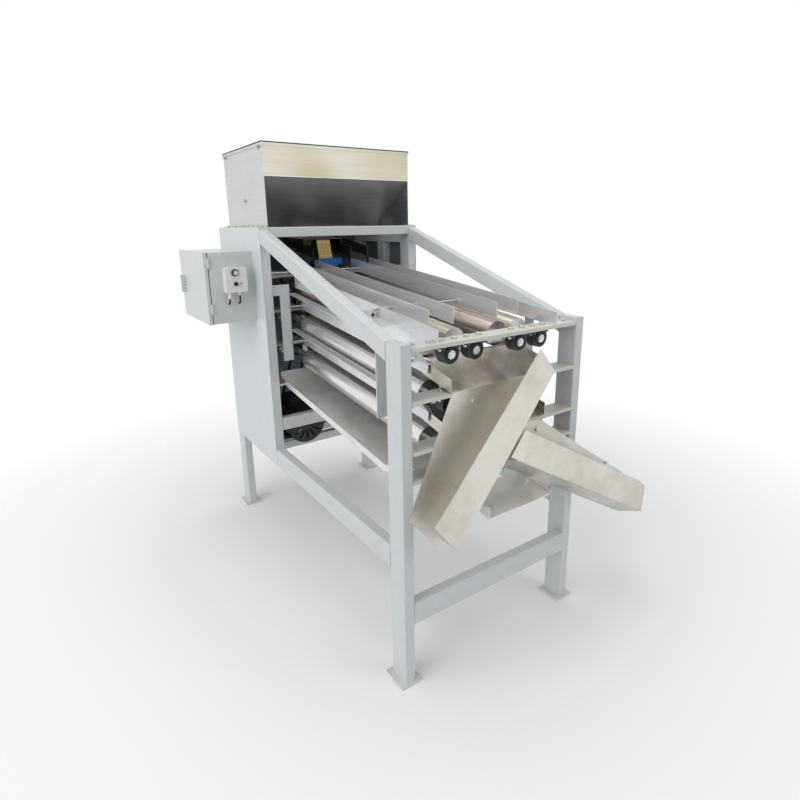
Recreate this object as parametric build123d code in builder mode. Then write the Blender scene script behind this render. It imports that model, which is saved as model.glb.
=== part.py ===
from build123d import *
import os
from math import atan2, cos, hypot, pi, radians, sin, tan

# Nut grading machine: three tiers of inclined roller pairs under a vibrating feeder and a hopper.
# Millimetres, +Z up, the outlets face -Y, the control box is on the -X side.

# Overall frame
half_width = 400.0
leg_wide, leg_deep, tube_wall, tube_corner = 40.0, 80.0, 3.0, 5.0
front_leg_top = 1156.0
brace_front, brace_rear, brace_deep = 1125.0, 1439.0, 60.0
housing_front, housing_rear, housing_top = 1040.0, 1600.0, 1480.0
skin = 1.5
foot_thick, foot_proud_x, foot_proud_y = 8.0, 20.0, 10.0
rail_low, rail_high = 405.0, 485.0
beam_high, side_beam_high = 42.0, 83.0
inner_member_high = 40.0
column_front, column_deep = 1272.0, 68.0
low_rail, door_rail = (220.0, 300.0), (572.0, 630.0)
motor_rails = ((1205.0, 1245.0), (1340.0, 1380.0))

# Roller tiers, front ends low
tiers, tier_pitch, slope = 3, 160.0, 6.0
axis_height = 1096.5
inner_roller, outer_roller = 97.0, 197.6
roller_x = (-outer_roller, -inner_roller, inner_roller, outer_roller)
lane_x = (inner_roller + outer_roller) / 2
roller_radius, roller_wall = 44.5, 5.0
roller_front, roller_rear = 135.0, 1040.0
head_inset, head_thick = 1.0, 8.0
journal_radius, spindle_radius, ring_radius, ring_play = 10.0, 15.0, 14.5, 0.05

# Bearing blocks and the flat bars they hang from
block_wide, block_deep, block_rise, block_drop, block_flange = 76.0, 36.0, 29.3, 32.5, 12.0
block_bolts = 52.0
bar_deep, bar_thick = 70.0, 12.0
front_block_y, rear_bar_y = 40.0, 1190.0
rear_block_y = rear_bar_y + bar_deep / 2
slot_long, slot_wide = 22.0, 11.0

# Drive behind the rear bars, in stations along the sloping axes
gear_end, gear_wide, gear_teeth = 1300.0, 24.0, 16
gear_pitch_radius, gear_tip, gear_root, gear_backlash = 50.0, 54.4, 43.8, 0.9
grooves = (1330.0, 1352.0, 1374.0)
groove_wide, groove_deep, pulley_radius, pulley_side = 15.0, 9.5, 45.0, 4.0
belt_wide, belt_thick, belt_play = 13.0, 8.0, 1.0
shaft_end_play = 6.0

# Motor, parallel to the rollers
motor_x, motor_drop = -205.0, -670.0
motor_radius, motor_inner, motor_length, motor_shield = 80.0, 63.0, 180.0, 14.0
rotor_core, motor_shaft, motor_pulley = 60.0, 12.0, 30.0
cowl_front_y, cowl_radius, cowl_length, cowl_slots = 1120.0, 91.0, 70.0, 12
motor_foot, motor_foot_half, motor_plate, motor_plate_half = 90.0, 70.0, 8.0, 95.0
fin_high, fin_thick, fins = 9.0, 3.0, 36
terminal_left, terminal_right, terminal_top, terminal_long = -50.0, 30.0, 118.0, 90.0

# Hopper
hopper_half, hopper_front, hopper_rear, hopper_top, band_low = 360.0, 1045.0, 1555.0, 1820.0, 1685.0
sheet = 2.0
outlet_half, outlet_front, outlet_rear, outlet_low = 170.0, 1330.0, 1450.0, 1462.0
side_slope_top, rim_high, rim_out, flange_wide = 1570.0, 16.0, 3.0, 32.0

# Vibrating feeder
trough_half, trough_front, trough_rear, trough_low, trough_slope = 47.5, 1172.0, 1500.0, 1308.0, 8.0
trough_bevel, trough_high, ridge_front, ridge_high = 27.0, 75.0, 1310.0, 26.0
base_half, base_front, base_rear, base_high = 38.0, 1196.0, 1470.0, 1329.0
base_cap_half, base_cap = 62.0, 28.0
spring_half, spring_thick, spring_gap, spring_lean = 35.0, 3.0, 0.85, 14.0
spring_feet, spring_high, clamp_high, clamp_thick = (1240.0, 1440.0), 85.0, 26.0, 10.0
coil_half, coil_front, coil_rear, coil_rise = 26.0, 1330.0, 1395.0, 57.0
plate_over, plate_thick, plate_front = 6.0, 4.0, 1262.0

# Lane guides over the top tier and guides under each tier
guide_low, guide_high, guide_corner = 55.0, 111.0, 4.0
guide_front, guide_rear = 133.0, 1160.0
guide_rods, guide_rod_level, guide_rod_radius, rod_play = (345.0, 1090.0), 74.0, 3.0, 0.3
inlet_front, inlet_rear, inlet_level, inlet_dip = 1046.0, 1186.0, 50.0, 6.0
side_wall_x, side_wall_top, side_wall_high = 259.0, 87.0, 70.0
side_front, side_rear, deck_flat = 5.0, 1030.0, 75.0
deck_bends = ((210.0, 29.0), (442.0, 46.0))
lower_guide = ((288.0, -12.0), (258.0, -10.0), (222.0, -53.0), (222.0, -88.0))
lower_front, lower_rear, guided_tiers = 100.0, 1045.0, 2
strip_wide, strip_thick, rod_radius, rod_drop, rod_out = 45.0, 5.0, 3.0, 70.0, 20.0
leg_out, leg_in = half_width - skin, half_width - skin - leg_wide
rear_strip, front_strip = (leg_in - 78.5, 1050.0, 895.0), (leg_in - 46.0, 200.0, 875.0)
tab_low, tab_high = 1190.0, 1236.0

# Trays and outlets
tray_half, tray_low, tray_rise, tray_rear, tray_flange = 330.0, 650.0, 0.125, 1100.0, 26.0
tray_bar_low = 716.0
catch_half, catch_front, catch_rear, catch_rise, catch_side, catch_open = 215.0, -5.0, 150.0, 0.226, 44.0, 50.0
chute_front = -100.0
chute_tilt = 41.0
dish_left, dish_right, dish_low, dish_rise = -137.0, 153.0, 574.0, 0.15

# Control box, its door and the small feeder controller
box_deep, box_front, box_rear, box_low, box_high = 190.0, 1152.0, 1562.0, 1077.0, 1380.0
box_left = -half_width - box_deep
door_gap, door_thick, door_over = 4.0, 14.0, 2.0
hinge_pin, hinge_knuckle, hinge_high = 2.0, 4.5, 26.0
hinge_levels = (1130.0, 1325.0)
latch_y, latch_z, latch_half, latch_out = 1512.0, 1228.0, 40.0, 18.0
ctrl_left, ctrl_right, ctrl_low, ctrl_high, ctrl_front = box_left + 55.0, box_left + 147.0, 1212.0, 1316.0, 1110.0
dial_x, dial_z, dial_radius = ctrl_left + 41.0, 1298.0, 10.0
switch_x, switch_z, switch_radius = ctrl_left + 41.0, 1248.0, 8.5
toggle_x, toggle_z = ctrl_left + 63.0, 1249.0
knob_shaft, knob_play = 3.0, 0.05
cord_x, cord_y, cord_low, cord_radius, cord_bend = (ctrl_left + 17.0, ctrl_left + 61.0), 1131.0, 1160.0, 3.4, 18.0
gland_low, gland_radius = (1184.0, 1197.0), 6.5

# The origin is on the floor under the middle of everything
left_reach, right_reach = box_left - door_gap - door_thick - latch_out, 736.0
centre_x = (left_reach + right_reach) / 2
centre_y = (chute_front + housing_rear + foot_proud_y) / 2

c, s, t = cos(radians(slope)), sin(radians(slope)), tan(radians(slope))
os.makedirs("parts", exist_ok=True)


def at(x, y, z):
    return (x - centre_x, y - centre_y, z)


def block(x0, x1, y0, y1, z0, z1, mode=Mode.ADD):
    with Locations(at((x0 + x1) / 2, (y0 + y1) / 2, (z0 + z1) / 2)):
        Box(abs(x1 - x0), abs(y1 - y0), abs(z1 - z0), mode=mode)


# Planes: side() holds (Y, Z) outlines, facing() holds (X, Z) outlines and extrudes to the front
def side(x):
    return Plane(origin=at(x, 0, 0), x_dir=(0, 1, 0), z_dir=(1, 0, 0))


def facing(y):
    return Plane(origin=at(0, y, 0), x_dir=(1, 0, 0), z_dir=(0, -1, 0))


def level(z):
    return Plane(origin=at(0, 0, z), x_dir=(1, 0, 0), z_dir=(0, 0, 1))


# The rollers' own frame: x, station along the axis, height over the top tier's axis
tilted = Plane(origin=at(0, 0, axis_height), x_dir=(1, 0, 0), z_dir=(0, -s, c))


def across(station):
    spot = tilted.from_local_coords((0, station, 0))
    return Plane(origin=spot, x_dir=(1, 0, 0), z_dir=(0, -c, -s))


def beside(x):
    return Plane(origin=tilted.from_local_coords((x, 0, 0)), x_dir=(0, c, s), z_dir=(1, 0, 0))


def drop(tier):
    return -tier * tier_pitch * c


# Station on a tier's axis above the given distance from the front
def station(tier, y):
    return (y + drop(tier) * s) / c


def bar_low(tier, y):
    return axis_height - tier * tier_pitch + y * t + block_rise


def sketch(plane, corners, length, mode=Mode.ADD):
    with BuildSketch(plane) as profile:
        with BuildLine():
            Polyline(*corners, close=True)
        make_face()
    extrude(profile.sketch, amount=length, mode=mode)


# Bar with four rounded edges, between two corners of its profile
def rounded(plane, low, high, corner, length, mode=Mode.ADD):
    with BuildSketch(plane) as profile:
        with Locations(((low[0] + high[0]) / 2, (low[1] + high[1]) / 2)):
            RectangleRounded(high[0] - low[0], high[1] - low[1], corner)
    extrude(profile.sketch, amount=length, mode=mode)


# Rectangular tube that is open at its two ends
def hollow(plane, low, high, length):
    w = tube_wall
    rounded(plane, low, high, tube_corner, length)
    rounded(plane, (low[0] + w, low[1] + w), (high[0] - w, high[1] - w), tube_corner - w, length, Mode.SUBTRACT)


def tube(x0, x1, y0, y1, z0, z1, along):
    if along == "x":
        hollow(side(x0), (y0, z0), (y1, z1), x1 - x0)
    elif along == "y":
        hollow(facing(y1), (x0, z0), (x1, z1), y1 - y0)
    else:
        hollow(level(z0), (x0, y0), (x1, y1), z1 - z0)


def rod(plane, x, y, radius, length, mode=Mode.ADD):
    with BuildSketch(plane) as profile:
        with Locations((x, y)):
            Circle(radius)
    extrude(profile.sketch, amount=length, mode=mode)


def wheel(end, length, x, height, radius, mode=Mode.ADD):
    rod(across(end), x, height, radius, length, mode)


# Closed outline of a bent sheet, thickness to the left of the given line
def bent(points, thick):
    normals = []
    for (x0, y0), (x1, y1) in zip(points, points[1:]):
        run = hypot(x1 - x0, y1 - y0)
        normals.append(((y0 - y1) / run, (x1 - x0) / run))
    edge = []
    for i, (x, y) in enumerate(points):
        ax, ay = normals[max(i - 1, 0)]
        bx, by = normals[min(i, len(normals) - 1)]
        scale = thick / (1 + ax * bx + ay * by)
        edge.append((x + (ax + bx) * scale, y + (ay + by) * scale))
    return list(points) + edge[::-1]


def save(piece, label):
    piece.part.label = label
    export_step(piece.part, f"parts/{label}.step")


# Legs, posts and rails, one solid each side
with BuildPart() as front_legs:
    for x0, x1 in ((-leg_out, -leg_in), (leg_in, leg_out)):
        tube(x0, x1, 0, leg_deep, foot_thick, front_leg_top - tube_wall, "z")
        rounded(level(front_leg_top - tube_wall), (x0, 0), (x1, leg_deep), tube_corner, tube_wall)
save(front_legs, "front_legs")

with BuildPart() as rear_legs:
    for x0, x1 in ((-leg_out, -leg_in), (leg_in, leg_out)):
        tube(x0, x1, housing_rear - leg_deep, housing_rear, foot_thick, housing_top, "z")
save(rear_legs, "rear_legs")

with BuildPart() as posts:
    for x0, x1 in ((-leg_out, -leg_in), (leg_in, leg_out)):
        tube(x0, x1, housing_front, housing_front + leg_deep, rail_high, housing_top, "z")
save(posts, "posts")

with BuildPart() as side_rails:
    for x0, x1 in ((-leg_out, -leg_in), (leg_in, leg_out)):
        tube(x0, x1, leg_deep, housing_rear - leg_deep, rail_low, rail_high, "y")
save(side_rails, "side_rails")

with BuildPart() as foot_plates:
    for x0, x1 in ((-leg_out, -leg_in), (leg_in, leg_out)):
        for y0 in (0, housing_rear - leg_deep):
            block(x0 - foot_proud_x, x1 + foot_proud_x, y0 - foot_proud_y,
                  y0 + leg_deep + foot_proud_y, 0, foot_thick)
save(foot_plates, "foot_plates")

# Cross rails: low at the front and rear, under the housing front, and two under the motor
with BuildPart() as cross_rails:
    tube(-leg_in, leg_in, 0, leg_wide, *low_rail, "x")
    tube(-leg_in, leg_in, housing_rear - leg_wide, housing_rear, rail_low, rail_high, "x")
    tube(-leg_in, leg_in, housing_front, housing_front + leg_wide, *door_rail, "x")
    for y0, y1 in motor_rails:
        tube(-leg_in, leg_in, y0, y1, rail_low, rail_low + leg_wide, "x")
save(cross_rails, "cross_rails")

# Sloping braces from the front legs up to the posts, cut upright at both ends
with BuildPart() as braces:
    climb = atan2(brace_rear - brace_front, housing_front - leg_deep)
    length = (housing_front - leg_deep) / cos(climb)
    for x in (-leg_out, leg_in):
        low = Plane(origin=at(x + leg_wide / 2, leg_deep, brace_front), x_dir=(1, 0, 0), z_dir=(0, cos(climb), sin(climb)))
        start = Plane(origin=low.from_local_coords((0, 0, -brace_deep)), x_dir=low.x_dir, z_dir=low.z_dir)
        hollow(start, (-leg_wide / 2, -brace_deep / 2), (leg_wide / 2, brace_deep / 2), length + 2 * brace_deep)
    for y0, y1 in ((leg_deep - 2 * brace_deep, leg_deep), (housing_front, housing_front + 2 * brace_deep)):
        block(-half_width, half_width, y0, y1, brace_front - 2 * brace_deep, brace_rear + 2 * brace_deep,
              Mode.SUBTRACT)
save(braces, "braces")

# Ring of beams round the top of the housing
with BuildPart() as top_frame:
    z0 = housing_top - beam_high
    tube(-leg_in, leg_in, housing_front, housing_front + leg_wide, z0, housing_top, "x")
    tube(-leg_in, leg_in, housing_rear - leg_wide, housing_rear, z0, housing_top, "x")
    for x0, x1 in ((-leg_out, -leg_in), (leg_in, leg_out)):
        tube(x0, x1, housing_front + leg_deep, housing_rear - leg_deep, housing_top - side_beam_high,
             housing_top, "y")
save(top_frame, "top_frame")

# Members inside the housing that carry the rear bars and the feeder
shelf = bar_low(0, rear_block_y) + bar_thick
with BuildPart() as housing_members:
    for x0, x1 in ((-leg_out, -leg_in), (leg_in, leg_out)):
        tube(x0, x1, rear_bar_y, rear_bar_y + bar_deep, rail_high, shelf, "z")
        tube(x0, x1, rear_bar_y + bar_deep, housing_rear - leg_deep, shelf - inner_member_high, shelf, "y")
        tube(x0, x1, column_front, column_front + column_deep, shelf, housing_top - side_beam_high, "z")
    tube(-leg_in, leg_in, base_rear - leg_wide, base_rear, shelf - inner_member_high, shelf, "x")
save(housing_members, "housing_members")

# Cover sheets of the housing
with BuildPart() as side_covers:
    for x0, x1 in ((-half_width, -leg_out), (leg_out, half_width)):
        block(x0, x1, housing_front, housing_rear, rail_low, housing_top)
save(side_covers, "side_covers")

with BuildPart() as rear_cover:
    block(-leg_out, leg_out, housing_rear, housing_rear + skin, rail_high, housing_top)
save(rear_cover, "rear_cover")

# Flat bars: one per tier, slotted for the bearing bolts, and a plain one over the bottom tray
with BuildPart() as front_bars:
    for tier in range(tiers):
        low = bar_low(tier, front_block_y)
        block(-leg_in, leg_in, 0, bar_deep, low, low + bar_thick)
        with BuildSketch(level(low)):
            for x in roller_x:
                with Locations((x - block_bolts / 2, front_block_y), (x + block_bolts / 2, front_block_y)):
                    SlotOverall(slot_long, slot_wide)
        extrude(amount=bar_thick, mode=Mode.SUBTRACT)
    block(-leg_in, leg_in, 0, bar_deep, tray_bar_low, tray_bar_low + bar_thick)
save(front_bars, "front_bars")

with BuildPart() as rear_bars:
    for tier in range(tiers):
        low = bar_low(tier, rear_block_y)
        block(-leg_in, leg_in, rear_bar_y, rear_bar_y + bar_deep, low, low + bar_thick)
save(rear_bars, "rear_bars")


# Bearing blocks hanging under a bar; the bore follows the slope of the shafts
def bearing_blocks(mid):
    for tier in range(tiers):
        centre = bar_low(tier, mid) - block_rise
        for x in roller_x:
            with BuildSketch(facing(mid + block_deep / 2)) as profile:
                with Locations((x, centre + block_rise - block_flange / 2)):
                    Rectangle(block_wide, block_flange)
                with Locations((x, centre + block_rise / 2)):
                    Rectangle(2 * block_drop - 6, block_rise)
                with Locations((x, centre)):
                    Circle(block_drop)
                with Locations((x, centre + block_rise + block_drop / 2)):
                    Rectangle(block_wide, block_drop, mode=Mode.SUBTRACT)
            extrude(profile.sketch, amount=block_deep)
            wheel(station(tier, mid + block_deep), 2 * block_deep, x, drop(tier),
                  ring_radius + ring_play, Mode.SUBTRACT)


with BuildPart() as front_blocks:
    bearing_blocks(front_block_y)
save(front_blocks, "front_blocks")

with BuildPart() as rear_blocks:
    bearing_blocks(rear_block_y)
save(rear_blocks, "rear_blocks")


# Involute gear outline with the given first tooth angle, round (x, y)
def gear_outline(x, y, first):
    base = gear_pitch_radius * cos(radians(20))

    def spread(radius):
        if radius <= base:
            return 0.0
        angle = (radius / base) ** 2 - 1
        return angle ** 0.5 - atan2(angle ** 0.5, 1)

    half = (pi / gear_teeth - gear_backlash / gear_pitch_radius) / 2
    radii = (gear_root, base, gear_pitch_radius, gear_tip)
    flank = [(r, half + spread(gear_pitch_radius) - spread(r)) for r in radii]
    points = []
    for tooth in range(gear_teeth):
        middle = first + 2 * pi * tooth / gear_teeth
        for r, a in [(r, -a) for r, a in flank] + flank[::-1]:
            points.append((x + r * cos(middle + a), y + r * sin(middle + a)))
    return points


def pulley(groove, x, height, radius):
    half = groove_wide / 2 + pulley_side
    wheel(groove + half, 2 * half, x, height, radius)
    with BuildSketch(across(groove + groove_wide / 2)) as profile:
        with Locations((x, height)):
            Circle(radius + 1)
            Circle(radius - groove_deep, mode=Mode.SUBTRACT)
    extrude(profile.sketch, amount=groove_wide, mode=Mode.SUBTRACT)


# Which grooves each tier's driven rollers carry, top tier first, for the left and the right lane
groove_use = {(0, 1): (0,), (0, 3): (0,), (1, 1): (0, 2), (1, 3): (0, 2), (2, 1): (0, 1, 2), (2, 3): (1, 2)}

# Grading rollers: tube with sunk heads, journals, bearing rings, gear and belt pulley
for tier in range(tiers):
    for place, x in enumerate(roller_x):
        height = drop(tier)
        front_end, rear_end = station(tier, roller_front), station(tier, roller_rear)
        used = groove_use.get((tier, place), ())
        tail = grooves[max(used)] + groove_wide / 2 + pulley_side if used else gear_end
        tail += shaft_end_play
        with BuildPart() as roller:
            wheel(rear_end, rear_end - front_end, x, height, roller_radius)
            wheel(rear_end, rear_end - front_end, x, height, roller_radius - roller_wall, Mode.SUBTRACT)
            for end in (front_end + head_inset + head_thick, rear_end - head_inset):
                wheel(end, head_thick, x, height, roller_radius - roller_wall)
            nose = station(tier, front_block_y - block_deep / 2 - 5)
            wheel(tail, tail - nose, x, height, journal_radius)
            rest = station(tier, rear_block_y - block_deep / 2 - 8)
            wheel(rest, rest - front_end - head_inset, x, height, spindle_radius)
            for mid in (front_block_y, rear_block_y):
                ring = station(tier, mid) + block_deep / 2 + 2
                wheel(ring, block_deep + 4, x, height, ring_radius)
            turn = pi / gear_teeth if place in (1, 3) else 0
            sketch(across(gear_end), gear_outline(x, height, turn), gear_wide)
            for number in used:
                pulley(grooves[number], x, height, pulley_radius)
        save(roller, f"roller_{tier + 1}{'abcd'[place]}")

# Belt loops, each in clearance of its grooves
belts = [(0, (motor_x, motor_drop, motor_pulley), (-inner_roller, drop(2), pulley_radius)),
         (1, (-inner_roller, drop(2), pulley_radius), (outer_roller, drop(2), pulley_radius))]
for x in (-inner_roller, outer_roller):
    belts.append((2, (x, drop(2), pulley_radius), (x, drop(1), pulley_radius)))
    belts.append((0, (x, drop(1), pulley_radius), (x, drop(0), pulley_radius)))
with BuildPart() as drive_belts:
    for number, *ends in belts:
        for thick, mode in ((belt_thick, Mode.ADD), (0, Mode.SUBTRACT)):
            with BuildSketch(across(grooves[number] + belt_wide / 2)):
                for x, height, radius in ends:
                    with Locations((x, height)):
                        Circle(radius - groove_deep + belt_play + thick)
                make_hull()
            extrude(amount=belt_wide, mode=mode)
save(drive_belts, "drive_belts")

# Motor: frame with end shields and feet, rotor with fan and pulley, slotted cowl, wedge stand
cowl_end = (cowl_front_y + motor_drop * s) / c
frame_start = cowl_end + cowl_length
frame_stop = frame_start + motor_length
with BuildPart() as motor_frame:
    wheel(frame_stop, motor_length, motor_x, motor_drop, motor_radius)
    wheel(frame_stop - motor_shield, motor_length - 2 * motor_shield, motor_x, motor_drop, motor_inner, Mode.SUBTRACT)
    wheel(frame_stop, motor_length, motor_x, motor_drop, motor_shaft + ring_play, Mode.SUBTRACT)
    with BuildSketch(across(frame_stop - motor_shield)):
        with Locations((motor_x, motor_drop)):
            with PolarLocations(motor_radius + fin_high / 2 - 1, fins):
                Rectangle(fin_high + 2, fin_thick)
    extrude(amount=motor_length - 2 * motor_shield)
    foot_level = motor_drop - motor_foot
    for out in (-1, 1):
        x0 = motor_x + out * motor_foot_half
        corners = [(x0 - out * across_foot, foot_level + up) for across_foot, up in
                   ((0, 0), (40, 0), (40, 12), (22, 48), (10, 12), (0, 12))]
        sketch(across(frame_stop - 25), corners, motor_length - 50)
    box = [(motor_x + x, motor_drop + up) for x, up in
           ((terminal_right, 70), (terminal_right, terminal_top), (terminal_left, terminal_top), (terminal_left, 56))]
    sketch(across(frame_start + motor_shield + terminal_long), box, terminal_long)
save(motor_frame, "motor_frame")

with BuildPart() as motor_cowl:
    wheel(frame_start, cowl_length, motor_x, motor_drop, cowl_radius)
    wheel(frame_start, cowl_length - 2 * skin, motor_x, motor_drop, cowl_radius - 2 * skin, Mode.SUBTRACT)
    with BuildSketch(across(cowl_end + 2 * skin)):
        with Locations((motor_x, motor_drop)):
            with PolarLocations(52, cowl_slots):
                Rectangle(44, 8)
    extrude(amount=2 * skin, mode=Mode.SUBTRACT)
    for x in (-1, 1):
        with BuildSketch(across(frame_start)):
            with Locations((motor_x + x * (motor_radius + cowl_radius - 2 * skin) / 2, motor_drop)):
                Rectangle(cowl_radius - 2 * skin - motor_radius + 1, 30)
        extrude(amount=cowl_length / 4)
save(motor_cowl, "motor_cowl")

with BuildPart() as motor_rotor:
    tail = grooves[0] + groove_wide / 2 + pulley_side
    wheel(tail, tail - cowl_end - 12, motor_x, motor_drop, motor_shaft)
    core = motor_length - 2 * motor_shield - 20
    wheel(frame_stop - motor_shield - 10, core, motor_x, motor_drop, rotor_core)
    wheel(cowl_end + 50, 6, motor_x, motor_drop, cowl_radius - 14)
    with BuildSketch(across(cowl_end + 45)):
        with Locations((motor_x, motor_drop)):
            with PolarLocations(46, 8):
                Rectangle(56, 3)
    extrude(amount=26)
    pulley(grooves[0], motor_x, motor_drop, motor_pulley)
save(motor_rotor, "motor_rotor")

plate_top = motor_drop - motor_foot
plate_a, plate_b = frame_start, frame_stop + 10
with BuildPart() as motor_stand:
    sketch(beside(motor_x - motor_plate_half), ((plate_a, plate_top - motor_plate), (plate_b, plate_top - motor_plate),
           (plate_b, plate_top), (plate_a, plate_top)), 2 * motor_plate_half)
    ends = [tilted.from_local_coords((0, a, plate_top - motor_plate)) for a in (plate_a, plate_b)]
    (y0, z0), (y1, z1) = [(p.Y + centre_y, p.Z) for p in ends]
    rest = rail_low + leg_wide
    for x0 in (motor_x - motor_plate_half, motor_x + motor_plate_half - motor_plate):
        sketch(side(x0), ((y0, rest), (y1, rest), (y1, z1), (y0, z0)), motor_plate)
save(motor_stand, "motor_stand")

# Hopper: box walls, front band over an open front, sloping bottom sheets and a spout
with BuildPart() as hopper:
    base = housing_top
    drop_line = (outlet_front + sheet, base + sheet)
    for x0, x1 in ((-hopper_half, -hopper_half + sheet), (hopper_half - sheet, hopper_half)):
        block(x0, x1, hopper_front, hopper_rear, base, hopper_top)
    block(-hopper_half, hopper_half, hopper_rear - sheet, hopper_rear, base, hopper_top)
    for mirror in (-1, 1):
        line = ((mirror * (hopper_half - sheet), side_slope_top), (mirror * (outlet_half - sheet), base + sheet))
        sketch(facing(hopper_rear - sheet), bent(line, mirror * sheet), hopper_rear - sheet - hopper_front)
    line = ((hopper_rear - sheet, side_slope_top), (outlet_rear - sheet, base + sheet))
    sketch(side(-hopper_half), bent(line, sheet), 2 * hopper_half)
    sketch(side(-hopper_half + sheet), ((hopper_front, band_low), drop_line, (hopper_front, base)),
           2 * hopper_half - 2 * sheet, Mode.SUBTRACT)
    line = ((hopper_front, band_low + sheet), drop_line)
    sketch(side(-hopper_half), bent(line, -sheet), 2 * hopper_half)
    block(-hopper_half, hopper_half, hopper_front, hopper_front + sheet, band_low, hopper_top)
    block(-outlet_half, outlet_half, outlet_front, outlet_rear, outlet_low, base + sheet)
    block(-outlet_half + sheet, outlet_half - sheet, outlet_front + sheet, outlet_rear - sheet,
          outlet_low, base + 14 * sheet, Mode.SUBTRACT)
    for x0, x1 in ((-hopper_half - flange_wide, -hopper_half), (hopper_half, hopper_half + flange_wide)):
        block(x0, x1, hopper_front + 5, hopper_rear - 5, base, base + 3)
    block(-hopper_half - rim_out, hopper_half + rim_out, hopper_front - rim_out, hopper_rear + rim_out,
          hopper_top - rim_high, hopper_top)
    block(-hopper_half + sheet, hopper_half - sheet, hopper_front + sheet, hopper_rear - sheet,
          hopper_top - rim_high, hopper_top, Mode.SUBTRACT)
save(hopper, "hopper")

# Feeder: base, leaf springs, magnet and the shaken pan with one trough per lane
lean = tan(radians(spring_lean))
spring_top = base_high + spring_high
coil_high = base_high + coil_rise
with BuildPart() as feeder_base:
    block(-base_half, base_half, base_front, base_rear, shelf, base_high)
    block(-base_cap_half, base_cap_half, base_front, base_rear, base_high - base_cap, base_high)
    block(-base_half + 10, base_half - 10, base_front + 70, base_rear - 50, shelf, base_high - 8, Mode.SUBTRACT)
save(feeder_base, "feeder_base")

with BuildPart() as leaf_springs:
    for y in spring_feet:
        top = y + spring_high * lean
        sketch(side(-spring_half), ((y, base_high), (y + spring_thick, base_high),
               (top + spring_thick, spring_top), (top, spring_top)), 2 * spring_half)
save(leaf_springs, "leaf_springs")

with BuildPart() as feeder_magnet:
    block(-coil_half, coil_half, coil_front, coil_rear, base_high, coil_high)
    block(-coil_half, coil_half, coil_front, coil_front + 16, base_high, coil_high + 14)
save(feeder_magnet, "feeder_magnet")

# Each lane lies between the inner faces of its two guide plates
lanes = [(x0, x1 - sheet) for x0, x1 in (roller_x[:2], roller_x[2:])]
fall = tan(radians(trough_slope))
plate_low = spring_top + plate_over


def trough_level(y):
    return trough_low + (y - trough_front) * fall


with BuildPart() as feeder_pan:
    foot = trough_level(trough_rear)
    slide = Plane(origin=at(0, trough_rear, foot), x_dir=(1, 0, 0), z_dir=(0, -cos(radians(trough_slope)),
                                                                            -sin(radians(trough_slope))))
    long = (trough_rear - trough_front) / cos(radians(trough_slope))
    inner = []
    for x0, x1 in lanes:
        mid = (x0 + x1) / 2
        half = [(-trough_half, trough_high), (-trough_half, trough_bevel), (trough_bevel - trough_half, 0)]
        line = [(mid + x, y) for x, y in half] + [(mid - x, y) for x, y in half[::-1]]
        sketch(slide, bent(line, sheet), long)
        sketch(slide, line, sheet)
        inner.append(mid + trough_half if mid < 0 else mid - trough_half)
    left, right = inner
    for x in (left - sheet, right):
        sketch(side(x), ((plate_front, trough_level(plate_front) + trough_bevel), (trough_rear, foot + trough_bevel),
               (trough_rear, plate_low), (plate_front, plate_low)), sheet)
    block(left - sheet, right + sheet, plate_front, trough_rear, plate_low, plate_low + plate_thick)
    roof = plate_low + plate_thick
    sketch(facing(trough_rear), ((left, roof), (right, roof), (0, roof + ridge_high)), trough_rear - ridge_front)
    for y in spring_feet:
        top = y + spring_high * lean + spring_thick + spring_gap
        shift = -clamp_high * lean
        sketch(side(-spring_half), ((top + shift, spring_top - clamp_high),
               (top + shift + clamp_thick, spring_top - clamp_high),
               (top + plate_over * lean + clamp_thick, plate_low), (top + plate_over * lean, plate_low)),
               2 * spring_half)
    block(-coil_half, coil_half, coil_front - 14, coil_front - 4, coil_high - 20, plate_low)
save(feeder_pan, "feeder_pan")


# Height over the top tier's axis, measured upright
def over(y, rise):
    return axis_height + y * t + rise


# Upright guide plates over the top tier, one over each roller, and the two thin rods through them
with BuildPart() as lane_guides:
    for x in roller_x:
        sketch(side(x - sheet), ((guide_front, over(guide_front, guide_low)), (guide_rear, over(guide_rear, guide_low)),
               (guide_rear, over(guide_rear, guide_high)), (guide_front, over(guide_front, guide_high))), sheet)
    fillet(lane_guides.edges().filter_by(Axis.X), guide_corner)
    for y in guide_rods:
        rod(side(-half_width), y, over(y, guide_rod_level), guide_rod_radius + rod_play, 2 * half_width, Mode.SUBTRACT)
save(lane_guides, "lane_guides")

with BuildPart() as guide_rod_pair:
    for y, reach in zip(guide_rods, (side_wall_x + sheet + 12, leg_in)):
        rod(side(-reach), y, over(y, guide_rod_level), guide_rod_radius, 2 * reach)
save(guide_rod_pair, "guide_rods")

# Plates that carry the nuts from the troughs to the rollers
with BuildPart() as lane_inlets:
    end, start = station(0, inlet_rear), station(0, inlet_front)
    for x0, x1 in lanes:
        x0, x1 = x0 + rod_play, x1 - rod_play
        line = ((x0, inlet_level + inlet_dip), ((x0 + x1) / 2, inlet_level), (x1, inlet_level + inlet_dip))
        sketch(across(end), bent(line, sheet), end - start)
save(lane_inlets, "lane_inlets")

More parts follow.
